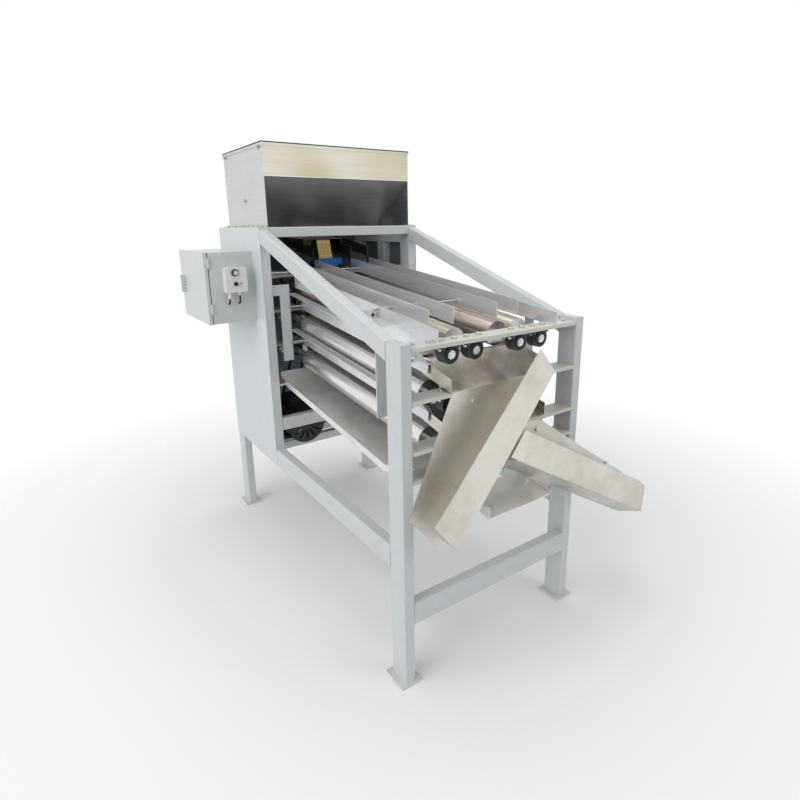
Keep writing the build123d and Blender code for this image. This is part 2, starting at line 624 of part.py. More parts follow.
# Side sheets of the top tier: long wall, flat flange on the bar and a deck up to the brace
flat = bar_low(0, front_block_y) + bar_thick
with BuildPart() as side_sheets:
    high = [over(y, side_wall_top) for y in (side_front, side_rear)]
    for x0 in (-side_wall_x - sheet, side_wall_x):
        sketch(side(x0), ((side_front, flat), (side_front, high[0]), (side_rear, high[1]),
               (side_rear, high[1] - side_wall_high), (deck_flat, flat)), sheet)
        x1 = -leg_in if x0 < 0 else side_wall_x
        line = [(side_front, flat), (deck_flat, flat)] + [(y, flat + rise) for y, rise in deck_bends]
        sketch(side(x1), bent(line, sheet), leg_in - side_wall_x)
    y = guide_rods[0]
    rod(side(-half_width), y, over(y, guide_rod_level), guide_rod_radius + rod_play, 2 * half_width, Mode.SUBTRACT)
save(side_sheets, "side_sheets")

# Bent guides under the two upper tiers, left and right, that lead falling nuts inwards
with BuildPart() as lower_guides:
    for tier in range(guided_tiers):
        end, start = station(tier, lower_rear), station(tier, lower_front)
        for mirror in (-1, 1):
            line = [(mirror * x, drop(tier) + y) for x, y in lower_guide]
            sketch(across(end), bent(line, -mirror * sheet), end - start)
save(lower_guides, "lower_guides")

# Flat strips with threaded rods that hold the lower guides
bend_y, bend_rise = deck_bends[0]
strip_tops = (tab_high, flat + (front_strip[1] - deck_flat) * bend_rise / (bend_y - deck_flat))
with BuildPart() as guide_strips:
    for mirror in (-1, 1):
        for (x, y, low), high in zip((rear_strip, front_strip), strip_tops):
            block(mirror * x, mirror * (x + strip_wide), y, y + strip_thick, low, high)
            for tier in range(guided_tiers):
                start = lower_guide[3][0]
                plane = side(start if mirror > 0 else -x - rod_out)
                rod(plane, y, over(y, -tier * tier_pitch - rod_drop), rod_radius, x + rod_out - start)
        x, y, low = rear_strip
        block(mirror * (x + strip_wide), mirror * leg_in, y, y + strip_thick, tab_low, tab_high)
save(guide_strips, "guide_strips")

# Bottom tray: runs down to the front, narrows there, hangs from its bar and the posts
tray_narrow, tray_neck, tray_nose = 210.0, 150.0, 20.0
run = hypot(1, tray_rise)
tray_plane = Plane(origin=at(0, 0, tray_low), x_dir=(1, 0, 0), z_dir=(0, -tray_rise / run, 1 / run))
with BuildPart() as bottom_tray:
    ends = [y * run for y in (tray_nose, tray_narrow, tray_rear)]
    half = ((-tray_neck, ends[0]), (-tray_half, ends[1]), (-tray_half, ends[2]))
    outline = half + tuple((-x, y) for x, y in half[::-1])
    sketch(tray_plane, outline, sheet)
    for edge in (half, tuple((-x, y) for x, y in half)):
        sketch(tray_plane, bent(edge, -sheet if edge is half else sheet), tray_flange)
    sketch(tray_plane, ((-tray_half, ends[2] - sheet), (tray_half, ends[2] - sheet), (tray_half, ends[2]),
           (-tray_half, ends[2])), 50)
    for mirror in (-1, 1):
        z = tray_low + 1070 * tray_rise
        block(mirror * (tray_half - sheet), mirror * leg_in, 1050, 1090, z, z + 6)
        block(mirror * (tray_neck + 12), mirror * (tray_neck + 15), 30, 60, tray_low + 30 * tray_rise, tray_bar_low)
save(bottom_tray, "bottom_tray")

# Catch trays under the front ends of the two upper tiers
with BuildPart() as catch_trays:
    for tier in (1, 2):
        rest = bar_low(tier, front_block_y) + bar_thick
        first, last = rest + 1, rest + 1 + catch_rear * catch_rise
        for x0, wide, high in ((-catch_half, 2 * catch_half, sheet), (-catch_half, sheet, catch_side),
                               (catch_half - sheet, sheet, catch_side)):
            sketch(side(x0), ((1, first), (catch_rear, last), (catch_rear, last + high), (1, first + high)), wide)
        open_from = -catch_half if tier == 1 else catch_open
        block(open_from, catch_half, catch_front, 1 + sheet, first, first + sheet)
        if tier == 2:
            block(-catch_half, open_from, 1, 1 + sheet, first, first + catch_side)
        for x in (-catch_half, catch_half - 12):
            block(x, x + 12, 48, 58, rest, first + 50 * catch_rise)
save(catch_trays, "catch_trays")


# Side chute: back plate against the bars, slanting floor and a front wall
def chute(back, near, low, direction, length, sign):
    sketch(facing(0), back, sheet)
    sketch(facing(chute_front + sheet), near, sheet)
    deep = -chute_front - sheet
    plane = Plane(origin=at(low[0], -sheet / 2, low[1]), x_dir=(0, -1, 0), z_dir=(direction[0], 0, direction[1]))
    line = ((0, 0), (deep, sign * chute_tilt))
    sketch(plane, bent(line, sheet * sign), length)


# Upper outlet, falling to the left; middle outlet, falling to the right
with BuildPart() as upper_chute:
    run = hypot(406, 509)
    chute(((-212, 982), (160, 982), (-257, 458), (-377, 605)),
          ((66, 1101), (138, 1018), (-268, 509), (-353, 618)),
          (-236, 484), (406 / run, 509 / run), 618, -1)
    block(-156, -138, 0, 24, bar_low(1, front_block_y) - 40, bar_low(1, front_block_y))
save(upper_chute, "upper_chute")

with BuildPart() as middle_chute:
    run = hypot(1, 0.573)
    chute(((45, 820), (185, 815), (387, 678), (726, 454), (726, 270), (-44, 711)),
          ((14, 842), (696, 463), (736, 429), (726, 318), (-48, 764)),
          (713, 277.5), (-1 / run, 0.573 / run), 872, 1)
    block(138, 156, 0, 24, bar_low(2, front_block_y) - 40, bar_low(2, front_block_y))
save(middle_chute, "middle_chute")

# Lowest outlet: shallow dish under the mouth of the bottom tray
with BuildPart() as lower_dish:
    rear, mouth = 60.0, tray_nose
    rise = (rear - chute_front) * dish_rise
    tops = [tray_low + y * tray_rise for y in (rear, mouth)]
    sketch(side(dish_left), ((chute_front, dish_low), (rear, dish_low + rise), (rear, dish_low + rise + sheet),
           (chute_front, dish_low + sheet)), dish_right - dish_left)
    sketch(side(dish_left), ((chute_front, dish_low), (rear, dish_low + rise), (rear, tops[0]), (mouth, tops[1]),
           (10, dish_low + 26), (-20, dish_low + 26), (chute_front, dish_low + 42)), sheet)
    sketch(side(dish_right - sheet), ((chute_front, dish_low), (rear, dish_low + rise), (rear, tops[0]),
           (mouth, tops[1]), (mouth - 8, dish_low + 21), (chute_front, dish_low + 14)), sheet)
save(lower_dish, "lower_dish")

# Control box, open to the left, with hinge pins at its front edge
hinge_x, hinge_y = box_left - 2, box_front - 7
with BuildPart() as control_box:
    block(box_left, -half_width, box_front, box_rear, box_low, box_high)
    block(box_left, -half_width - skin, box_front + skin, box_rear - skin, box_low + skin, box_high - skin,
          Mode.SUBTRACT)
    for x in cord_x:
        rod(facing(box_front + 5), x, cord_low, cord_radius + 0.1, 10, Mode.SUBTRACT)
    for z in hinge_levels:
        rod(level(z), hinge_x, hinge_y, hinge_pin, hinge_high + 8)
        for z0 in (z - 8, z + hinge_high + 0.5):
            rod(level(z0), hinge_x, hinge_y, hinge_knuckle, 7.5)
            block(hinge_x, hinge_x + 16, box_front - skin, box_front, z0, z0 + 7.5)
            block(hinge_x - 1, hinge_x + 4, hinge_y, box_front, z0, z0 + 7.5)
save(control_box, "control_box")

with BuildPart() as control_door:
    x1 = box_left - door_gap
    x0 = x1 - door_thick
    y0, y1, z0, z1 = box_front - door_over, box_rear + door_over, box_low - door_over, box_high + door_over
    block(x0, x1, y0, y1, z0, z1)
    block(x0 + skin, x1, y0 + skin, y1 - skin, z0 + skin, z1 - skin, Mode.SUBTRACT)
    rod(side(x0), latch_y, latch_z, 5 + knob_play, skin, Mode.SUBTRACT)
    for z in hinge_levels:
        block(x1 - 4, hinge_x, hinge_y - 1, y0 + skin, z, z + hinge_high)
        rod(level(z), hinge_x, hinge_y, hinge_knuckle, hinge_high)
        rod(level(z), hinge_x, hinge_y, hinge_pin + knob_play, hinge_high, Mode.SUBTRACT)
save(control_door, "control_door")

with BuildPart() as door_latch:
    rod(side(x0 - 6), latch_y, latch_z, 9, 5.5)
    rod(side(x0 - 8), latch_y, latch_z, 5, 17)
    block(left_reach, left_reach + 12, latch_y - 8, latch_y + 8, latch_z - latch_half, latch_z + latch_half)
    rod(side(left_reach + 6), latch_y, latch_z, 7, 8)
    block(x0 + 5, x0 + 8, latch_y - 6, latch_y + 6, latch_z - 6, latch_z + 26)
save(door_latch, "door_latch")

# Mounting plate with the motor switchgear inside the box
with BuildPart() as switchgear:
    wall = -half_width - skin
    block(wall - 12, wall - 10, box_front + 40, box_rear - 40, box_low + 30, box_high - 30)
    for y in (box_front + 60, box_rear - 60):
        for z in (box_low + 50, box_high - 50):
            block(wall - 10, wall, y - 5, y + 5, z - 5, z + 5)
    for y, wide, high, deep in ((1220, 36, 80, 70), (1280, 45, 74, 80), (1350, 110, 150, 110)):
        block(wall - 12 - deep, wall - 12, y, y + wide, 1228 - high / 2, 1228 + high / 2)
save(switchgear, "switchgear")

# Feeder controller with its dial, switch, toggle and cable glands
with BuildPart() as controller:
    block(ctrl_left, ctrl_right, ctrl_front, box_front, ctrl_low, ctrl_high)
    block(ctrl_left + sheet, ctrl_right - sheet, ctrl_front + sheet, box_front, ctrl_low + sheet,
          ctrl_high - sheet, Mode.SUBTRACT)
    for x, z in ((dial_x, dial_z - 3), (switch_x, switch_z)):
        rod(facing(ctrl_front + sheet), x, z, knob_shaft + knob_play, 2 * sheet, Mode.SUBTRACT)
    rod(facing(ctrl_front + sheet), toggle_x, toggle_z, 6, sheet + 5)
    rod(facing(ctrl_front + sheet + 1), toggle_x, toggle_z, 4.4, sheet + 8, Mode.SUBTRACT)
    for x in cord_x:
        rod(level(ctrl_low - 1), x, cord_y, cord_radius + 0.1, 2 * sheet, Mode.SUBTRACT)
save(controller, "controller")

with BuildPart() as dial_knob:
    rod(facing(ctrl_front - 0.6), dial_x, dial_z - 3, dial_radius, 14)
    rod(facing(ctrl_front + 12), dial_x, dial_z - 3, knob_shaft, 14)
    block(dial_x - 1.5, dial_x + 1.5, ctrl_front - 16.6, ctrl_front - 10, dial_z - 3, dial_z - 3 + dial_radius)
save(dial_knob, "dial_knob")

with BuildPart() as switch_knob:
    rod(facing(ctrl_front - 0.6), switch_x, switch_z, switch_radius, 8)
    rod(facing(ctrl_front + 12), switch_x, switch_z, knob_shaft, 14)
    block(switch_x - 2.5, switch_x + 2.5, ctrl_front - 18, ctrl_front - 8, switch_z - 8, switch_z + 8)
save(switch_knob, "switch_knob")

with BuildPart() as toggle_lever:
    rod(facing(ctrl_front + 1), toggle_x, toggle_z, 2, 15)
    with Locations(at(toggle_x, ctrl_front + 1, toggle_z)):
        Sphere(4.1)
    rod(facing(ctrl_front - 12), toggle_x, toggle_z, 2.8, 6)
save(toggle_lever, "toggle_lever")

with BuildPart() as cable_glands:
    for x, low in zip(cord_x, gland_low):
        rod(level(low), x, cord_y, gland_radius, ctrl_low - low)
        rod(level(low), x, cord_y, cord_radius + 0.1, ctrl_low - low, Mode.SUBTRACT)
save(cable_glands, "cable_glands")

with BuildPart() as controller_cords:
    for x in cord_x:
        with BuildLine():
            FilletPolyline(at(x, cord_y, ctrl_low + 12), at(x, cord_y, cord_low), at(x, box_front + 12, cord_low),
                           radius=cord_bend)
        with BuildSketch(level(ctrl_low + 12)):
            with Locations((x, cord_y)):
                Circle(cord_radius)
        sweep()
save(controller_cords, "controller_cords")
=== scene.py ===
import math
import random

import bmesh
import bpy
from mathutils import Euler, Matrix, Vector
from mathutils.bvhtree import BVHTree


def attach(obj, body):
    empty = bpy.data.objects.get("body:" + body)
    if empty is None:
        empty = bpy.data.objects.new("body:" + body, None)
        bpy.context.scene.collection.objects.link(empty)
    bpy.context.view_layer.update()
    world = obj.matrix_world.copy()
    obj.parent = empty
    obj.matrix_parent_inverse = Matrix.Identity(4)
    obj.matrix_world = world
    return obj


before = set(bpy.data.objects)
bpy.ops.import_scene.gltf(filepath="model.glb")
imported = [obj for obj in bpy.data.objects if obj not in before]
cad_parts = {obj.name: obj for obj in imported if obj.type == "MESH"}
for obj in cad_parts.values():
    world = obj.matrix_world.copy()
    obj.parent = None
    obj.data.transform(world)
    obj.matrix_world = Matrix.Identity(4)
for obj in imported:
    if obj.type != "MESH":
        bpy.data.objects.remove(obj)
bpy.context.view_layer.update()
random.seed(7)

# Machine places in millimetres: x from the middle, y from the front legs, z from the floor
CENTRE_X, CENTRE_Y = 55.0, 755.0
SHEET = 2.0
UP, DOWN, FRONT = (0, 0, 1), (0, 0, -1), (0, -1, 0)

# Welded frame
HALF_WIDTH, TUBE = 398.5, 40.0
FRONT_LEG, REAR_LEG = (0.0, 80.0), (1520.0, 1600.0)
SIDE_RAIL, LOW_RAIL = (405.0, 485.0), (220.0, 300.0)
BRACE_ENDS = ((80.0, (1093.0, 1156.0)), (1040.0, (1407.0, 1471.0)))
FOOT_WELD = 9.0

# Roller tiers with their bearing blocks and bars
SLOPE = math.radians(6.0)
AXIS_HEIGHT, TIER_PITCH, TIERS = 1096.5, 160.0, 3
ROLLER_X = (-197.6, -97.0, 97.0, 197.6)
ROLLER_FRONT, ROLLER_HEAD = 135.0, 160.0
FRONT_BLOCK_Y, REAR_BLOCK_Y = 40.0, 1225.0
BLOCK_RISE, BAR_THICK, BAR_DEEP, BLOCK_FLANGE, BOLT_OFFSET = 29.3, 12.0, 70.0, 12.0, 26.0
BEARING_FACE, COLLAR_FACE = 18.0, 20.3

# Guides on their rods and strips
GUIDED_TIERS, GUIDE_RODS, GUIDE_ROD_LEVEL, SIDE_WALL_X = 2, (345.0, 1090.0), 74.0, 259.0
STRIPS, STRIP_FACE, LOWER_GUIDE_FACE, ROD_DROP = ((280.0, 1050.0), (312.5, 200.0)), 5.2, 224.2, 70.0

# Hopper, side sheets and chutes
HOPPER_BAND_LOW = 1684.0
FLANGE_X, FLANGE_TOP, FLANGE_BOLTS = 376.0, 1483.0, (1075.0, 1185.0, 1300.0, 1415.0, 1525.0)
HOPPER_SIDE_BOLTS = ((363.2, 1082.0, 1800.0), (363.2, 1528.0, 1800.0), (360.2, 1297.0, 1596.0))
SIDE_SHEET_BOLTS_X, SIDE_SHEET_BOLTS_Y = (275.0, 330.0), 36.0
CHUTE_BOLTS, CHUTE_BOLTS_Y = ((-127.0, 942.0), (174.0, 778.0), (596.0, 537.0)), -2.1

# Leaf springs, control box and feeder controller
SPRING_FEET, SPRING_FOOT_LEVEL, SPRING_LEAN = (1240.0, 1440.0), 1329.0, math.radians(14)
SPRING_BOLTS_X, SPRING_BOLTS_Z = (-22.0, 0.0, 22.0), (1340.0, 1403.0)
BOX_LEFT, BOX_EDGE = -590.0, (1152.5, 1561.5, 1077.5, 1379.5)
CONTROLLER_FRONT, CONTROLLER_X, CONTROLLER_Z = 1110.0, (-535.0, -443.0), (1212.0, 1316.0)
DIAL_X, DIAL_Z, SCREW_INSET = -494.0, 1295.0, 5.0

# The photograph's camera
CAMERA_PLACE = (-1.279, -1.992, 1.484)
CAMERA_TURN = (75.353, 0.734, -34.866)
CAMERA_LENS, CAMERA_SHIFT = 24.57, (-0.0116, -0.0411)


# A machine place in the frame's metres
def at(x, y, z):
    return Vector(((x - CENTRE_X) / 1000, (y - CENTRE_Y) / 1000, z / 1000))


# Height of a tier's roller axes at a distance from the front
def axis_at(tier, y):
    return AXIS_HEIGHT - tier * TIER_PITCH + y * math.tan(SLOPE)


# Underside of the bar that a tier's bearing blocks hang from
def bar_low(tier, y):
    return axis_at(tier, y) + BLOCK_RISE


# Colours are written as seen, 0 to 255, and turned linear here
def colour(red, green, blue):
    steps = [v / 255 for v in (red, green, blue)]
    return tuple(v / 12.92 if v <= 0.04045 else ((v + 0.055) / 1.055) ** 2.4 for v in steps) + (1.0,)


# Every material: two colours blended by grain; spots are a third colour, its scale and two noise levels
def surface(name, first, second, rough, metallic=0.0, grain=(40, 40, 40), bump=0.05, rough_spread=0.08,
            spots=None, cloudy=8.0):
    made = bpy.data.materials.new(name)
    made.use_nodes = True
    nodes, links = made.node_tree.nodes, made.node_tree.links
    shader = nodes["Principled BSDF"]
    shader.inputs["Metallic"].default_value = metallic
    place = nodes.new("ShaderNodeTexCoord")
    scale = nodes.new("ShaderNodeMapping")
    scale.inputs["Scale"].default_value = grain
    noise = nodes.new("ShaderNodeTexNoise")
    noise.inputs["Scale"].default_value = 1.0
    noise.inputs["Detail"].default_value = 6.0
    noise.inputs["Roughness"].default_value = 0.6
    links.new(place.outputs["Object"], scale.inputs["Vector"])
    links.new(scale.outputs["Vector"], noise.inputs["Vector"])
    ramp = nodes.new("ShaderNodeValToRGB")
    for step, position, shade in zip(ramp.color_ramp.elements, (0.25, 0.75), (first, second)):
        step.position = position
        step.color = colour(*shade)
    links.new(noise.outputs["Fac"], ramp.inputs["Fac"])
    shown = ramp.outputs["Color"]
    if spots:
        shade, size, low, high = spots
        cloud = nodes.new("ShaderNodeTexNoise")
        cloud.inputs["Scale"].default_value = size
        cloud.inputs["Detail"].default_value = cloudy
        cloud.inputs["Roughness"].default_value = 0.7
        links.new(place.outputs["Object"], cloud.inputs["Vector"])
        mask = nodes.new("ShaderNodeMapRange")
        mask.inputs["From Min"].default_value = low
        mask.inputs["From Max"].default_value = high
        links.new(cloud.outputs["Fac"], mask.inputs["Value"])
        blend = nodes.new("ShaderNodeMix")
        blend.data_type = "RGBA"
        links.new(mask.outputs["Result"], blend.inputs["Factor"])
        links.new(shown, blend.inputs[6])
        blend.inputs[7].default_value = colour(*shade)
        shown = blend.outputs[2]
    links.new(shown, shader.inputs["Base Color"])
    glance = nodes.new("ShaderNodeMapRange")
    glance.inputs["To Min"].default_value = max(rough - rough_spread, 0.02)
    glance.inputs["To Max"].default_value = min(rough + rough_spread, 1.0)
    links.new(noise.outputs["Fac"], glance.inputs["Value"])
    links.new(glance.outputs["Result"], shader.inputs["Roughness"])
    relief = nodes.new("ShaderNodeBump")
    relief.inputs["Strength"].default_value = bump
    relief.inputs["Distance"].default_value = 0.001
    links.new(noise.outputs["Fac"], relief.inputs["Height"])
    links.new(relief.outputs["Normal"], shader.inputs["Normal"])
    return made


paint = surface("frame_paint", (200, 203, 203), (207, 210, 210), 0.38, grain=(30, 30, 30),
                spots=((184, 184, 176), 3.2, 0.60, 0.95))
bar_paint = surface("bar_paint", (206, 204, 192), (214, 212, 202), 0.42, grain=(30, 30, 30),
                    spots=((170, 162, 140), 9.0, 0.58, 0.9))
# Darker blue-grey copy of the cover paint: painted shade for the housing's inner faces
shaded_inner_paint = surface("shaded_inner_paint", (92, 108, 118), (104, 120, 130), 0.45, grain=(18, 18, 18))
cover_paint = surface("cover_paint", (203, 208, 210), (209, 214, 216), 0.34, grain=(18, 18, 18),
                      spots=((188, 192, 192), 2.4, 0.62, 0.95))
box_paint = surface("box_paint", (201, 204, 202), (208, 211, 209), 0.32, grain=(60, 60, 60), bump=0.12)
controller_paint = surface("controller_paint", (222, 223, 220), (229, 230, 227), 0.4, grain=(60, 60, 60))
hopper_steel = surface("hopper_steel", (200, 201, 202), (216, 217, 217), 0.36, 0.9, (3, 3, 90), bump=0.02,
                       spots=((194, 192, 186), 2.3, 0.5, 0.9))
# Front band of the hopper, the same steel: brighter with warm spots, a painted reflection
hopper_band_reflection = surface("hopper_band_reflection", (214, 209, 196), (232, 227, 214), 0.30, 1.0, (3, 3, 90), bump=0.02,
                      spots=((200, 188, 154), 2.6, 0.44, 0.66), cloudy=0.5)
# Inside of the hopper, the same steel: darker and bluish as painted shade, its pale spots a painted
# reflection
hopper_inside_shade_and_reflection = surface("hopper_inside_shade_and_reflection", (138, 144, 152), (170, 176, 184), 0.34, 0.85, (3, 3, 60),
                        bump=0.02, spots=((214, 212, 200), 3.2, 0.52, 0.66), cloudy=1.0)
sheet_steel = surface("sheet_steel", (204, 203, 201), (220, 219, 217), 0.36, 0.92, (90, 5, 90), bump=0.03,
                      spots=((190, 182, 170), 3.5, 0.58, 0.95))
guide_steel = surface("guide_steel", (216, 218, 220), (232, 234, 236), 0.30, 0.66, (90, 5, 90), bump=0.03,
                      spots=((186, 170, 150), 6.0, 0.6, 0.95))
chute_steel = surface("chute_steel", (220, 216, 206), (232, 229, 221), 0.40, 0.80, (14, 60, 14), bump=0.03,
                      spots=((182, 168, 152), 1.7, 0.48, 0.8))
catch_steel = surface("catch_steel", (208, 200, 188), (228, 222, 212), 0.32, 0.86, (90, 5, 90), bump=0.03,
                      spots=((150, 134, 116), 4.0, 0.5, 0.85))
tray_steel = surface("tray_steel", (232, 231, 228), (242, 241, 238), 0.40, 0.7, (60, 5, 60), bump=0.03,
                     spots=((196, 190, 178), 4.0, 0.5, 0.85))
dusty_roller = surface("dusty_roller", (158, 138, 120), (208, 200, 190), 0.27, 0.92, (60, 0.6, 60),
                       bump=0.0, rough_spread=0.03, spots=((118, 88, 64), 2.4, 0.5, 0.8))
bright_roller = surface("bright_roller", (226, 225, 224), (242, 241, 240), 0.25, 0.88, (60, 0.6, 60),
                        bump=0.0, rough_spread=0.03, spots=((176, 160, 142), 2.5, 0.6, 0.95))
dark_steel = surface("dark_steel", (74, 72, 76), (104, 101, 104), 0.40, 0.9, (60, 8, 60))
bright_steel = surface("bright_steel", (206, 206, 205), (226, 226, 225), 0.24, 0.92, (120, 120, 120))
green_iron = surface("green_iron", (30, 52, 48), (42, 66, 60), 0.38, grain=(160, 160, 160), bump=0.4,
                     spots=((20, 26, 26), 20.0, 0.5, 0.8))
motor_black = surface("motor_black", (30, 33, 38), (42, 45, 50), 0.42, grain=(120, 120, 120), bump=0.3)
stand_blue = surface("stand_blue", (146, 178, 198), (158, 190, 208), 0.42, grain=(90, 90, 90), bump=0.2,
                     spots=((120, 112, 98), 7.0, 0.62, 0.95))
feeder_blue = surface("feeder_blue", (24, 92, 168), (34, 106, 182), 0.42, grain=(120, 120, 120), bump=0.3)
spring_yellow = surface("spring_yellow", (206, 176, 92), (220, 192, 110), 0.34, grain=(40, 40, 240))
black_plastic = surface("black_plastic", (24, 24, 26), (36, 36, 38), 0.48, grain=(200, 200, 200), bump=0.2)
white_plastic = surface("white_plastic", (224, 224, 220), (234, 234, 230), 0.4, grain=(80, 80, 80))
grey_plastic = surface("grey_plastic", (150, 152, 154), (168, 170, 172), 0.5, grain=(80, 80, 80))
black_rubber = surface("black_rubber", (22, 22, 22), (36, 35, 34), 0.7, grain=(90, 90, 90), bump=0.3)
zinc = surface("zinc", (196, 196, 190), (220, 220, 214), 0.34, 0.92, (260, 260, 260))
dial_blue = surface("dial_blue", (20, 38, 46), (30, 62, 72), 0.3, grain=(60, 60, 60))
brass = surface("brass", (196, 160, 84), (214, 180, 104), 0.3, 1.0, (200, 200, 200))

LOOKS = {
    paint: ("front_legs", "rear_legs", "posts", "side_rails", "foot_plates", "cross_rails", "braces",
            "top_frame", "housing_members", "rear_bars", "guide_strips"),
    bar_paint: ("front_bars",),
    cover_paint: ("side_covers", "rear_cover"),
    box_paint: ("control_box", "control_door", "door_latch"),
    controller_paint: ("controller",),
    hopper_steel: ("hopper",),
    sheet_steel: ("lane_inlets",),
    tray_steel: ("bottom_tray", "lower_dish"),
    catch_steel: ("catch_trays",),
    guide_steel: ("side_sheets", "lane_guides", "lower_guides"),
    chute_steel: ("upper_chute", "middle_chute"),
    dusty_roller: tuple(f"roller_1{p}" for p in "abcd"),
    bright_roller: tuple(f"roller_{t}{p}" for t in (2, 3) for p in "abcd"),
    dark_steel: ("feeder_pan",),
    bright_steel: ("motor_rotor", "toggle_lever", "dial_knob"),
    zinc: ("guide_rods",),
    green_iron: ("front_blocks", "rear_blocks"),
    motor_black: ("motor_frame",),
    stand_blue: ("motor_stand",),
    feeder_blue: ("feeder_base",),
    spring_yellow: ("leaf_springs",),
    black_plastic: ("motor_cowl", "feeder_magnet", "switch_knob"),
    white_plastic: ("cable_glands",),
    grey_plastic: ("switchgear",),
    black_rubber: ("drive_belts", "controller_cords"),
}
for look, names in LOOKS.items():
    for name in names:
        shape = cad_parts[name].data
        shape.materials.clear()
        shape.materials.append(look)


# The turned front ends of the rollers are bright
def roller_ends():
    along = Vector((0, math.cos(SLOPE), math.sin(SLOPE)))
    for tier in range(TIERS):
        for place, x in enumerate(ROLLER_X):
            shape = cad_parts[f"roller_{tier + 1}{'abcd'[place]}"].data
            shape.materials.append(bright_steel)
            for face in shape.polygons:
                spot = sum((shape.vertices[v].co for v in face.vertices), Vector()) / len(face.vertices)
                foremost = (spot - at(0, ROLLER_FRONT, 0)).y < 0.002
                if foremost or face.normal.dot(along) < -0.99 and spot.y < at(0, ROLLER_HEAD, 0).y:
                    face.material_index = 1


# Inner faces of the housing's sheets, darker than outside: painted shade of the closed housing on the same
# paint
def cover_faces():
    for name in ("side_covers", "rear_cover"):
        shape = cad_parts[name].data
        shape.materials.append(shaded_inner_paint)
        for face in shape.polygons:
            side = math.copysign(1, face.center.x + CENTRE_X / 1000)
            outward = face.normal.y if name == "rear_cover" else side * face.normal.x
            if outward < -0.9:
                face.material_index = 1


# The hopper's inner faces, found where a line from the face meets the hopper again, take painted shade with
# painted reflection spots, and its front band a painted warm reflection
def hopper_faces():
    standoff, reach, smallest = 0.002, 1.0, 0.0002
    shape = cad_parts["hopper"].data
    shape.materials.append(hopper_inside_shade_and_reflection)
    shape.materials.append(hopper_band_reflection)
    tree = BVHTree.FromPolygons([v.co for v in shape.vertices], [list(f.vertices) for f in shape.polygons])
    for face in shape.polygons:
        hit = tree.ray_cast(face.center + face.normal * standoff, face.normal, reach)[0]
        if hit is not None and face.area > smallest:
            face.material_index = 1
        # The front band takes the painted warm reflection
        elif face.normal.y < -0.99 and face.center.z > HOPPER_BAND_LOW / 1000:
            face.material_index = 2


# Smooth shading with sharp edges where faces turn by more than 32 degrees
def smooth(shown):
    shown.data.polygons.foreach_set("use_smooth", [True] * len(shown.data.polygons))
    shown.data.set_sharp_from_angle(angle=math.radians(32.0))


# A finished mesh becomes a piece that rides on a body and takes a material slot of the record
def piece(name, shape, look, body="frame"):
    data = bpy.data.meshes.new(name)
    bmesh.ops.recalc_face_normals(shape, faces=shape.faces)
    shape.to_mesh(data)
    shape.free()
    data.materials.append(look)
    made = bpy.data.objects.new(name, data)
    bpy.context.scene.collection.objects.link(made)
    smooth(made)
    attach(made, body)


# Faces between rows of vertices; a closed loft joins its last row to the first, an open one gets two caps
def loft(shape, rows, closed=False):
    for low, high in zip(rows, rows[1:] + rows[:1] if closed else rows[1:]):
        for k in range(len(low)):
            n = (k + 1) % len(low)
            shape.faces.new((low[k], low[n], high[n], high[k]))
    if not closed:
        shape.faces.new(rows[0][::-1])
        shape.faces.new(rows[-1])


# Turned profile round an axis: pairs of distance along the axis and radius, in millimetres
def turned(shape, place, axis, profile, sides=24, phase=0.0, closed=False):
    turn = Vector((0, 0, 1)).rotation_difference(Vector(axis)).to_matrix()
    rows = []
    for along, radius in profile:
        row = []
        for k in range(sides):
            angle = phase + 2 * math.pi * k / sides
            spot = Vector((radius * math.cos(angle), radius * math.sin(angle), along)) / 1000
            row.append(shape.verts.new(place + turn @ spot))
        rows.append(row)
    loft(shape, rows, closed)


# Ring with a hole, from the same kind of profile closed on itself
def ring(shape, place, axis, profile, sides=32):
    turned(shape, place, axis, profile, sides, closed=True)


# Hexagon head on a washer, with chamfered corners; the place is on the face it sits on
def hex_head(shape, place, axis, across=17.0, high=6.5, washer=1.6):
    corner, round_out = across / math.sqrt(3), across * 0.62
    turned(shape, place, axis, ((0.05, round_out), (washer, round_out), (washer + 0.1, across * 0.6)))
    base = washer + 0.1
    phase = random.uniform(0, math.pi / 3)
    turned(shape, place, axis, ((base, corner * 0.96), (base + 0.4, corner), (base + high - 1.0, corner),
                                (base + high, corner * 0.86)), 6, phase)


# Nut on a threaded end that stands out of it
def nut_and_thread(shape, place, axis, high=7.0, out=5.0, thread=5.0, washer=1.6):
    hex_head(shape, place, axis, high=high, washer=washer)
    start, pitch = washer + high, 1.5
    profile = [(start - 1, thread)]
    for k in range(int(out / pitch)):
        profile += [(start + k * pitch, thread), (start + (k + 0.5) * pitch, thread * 0.9)]
    profile.append((start + out, thread * 0.8))
    turned(shape, place, axis, profile, 16)


# Bolts of the bearing blocks: heads on the bars, flatter under the catch trays, and nuts underneath
def block_bolts():
    for end, middle in (("front", FRONT_BLOCK_Y), ("rear", REAR_BLOCK_Y)):
        heads, nuts = bmesh.new(), bmesh.new()
        for tier in range(TIERS):
            low = bar_low(tier, middle)
            high = 6.5 if tier == 0 or end == "rear" else 3.8
            for x in ROLLER_X:
                for offset in (-BOLT_OFFSET, BOLT_OFFSET):
                    hex_head(heads, at(x + offset, middle, low + BAR_THICK), UP, high=high)
                    nut_and_thread(nuts, at(x + offset, middle, low - BLOCK_FLANGE), DOWN)
        piece(f"{end}_block_bolts", heads, zinc)
        piece(f"{end}_block_nuts", nuts, zinc)


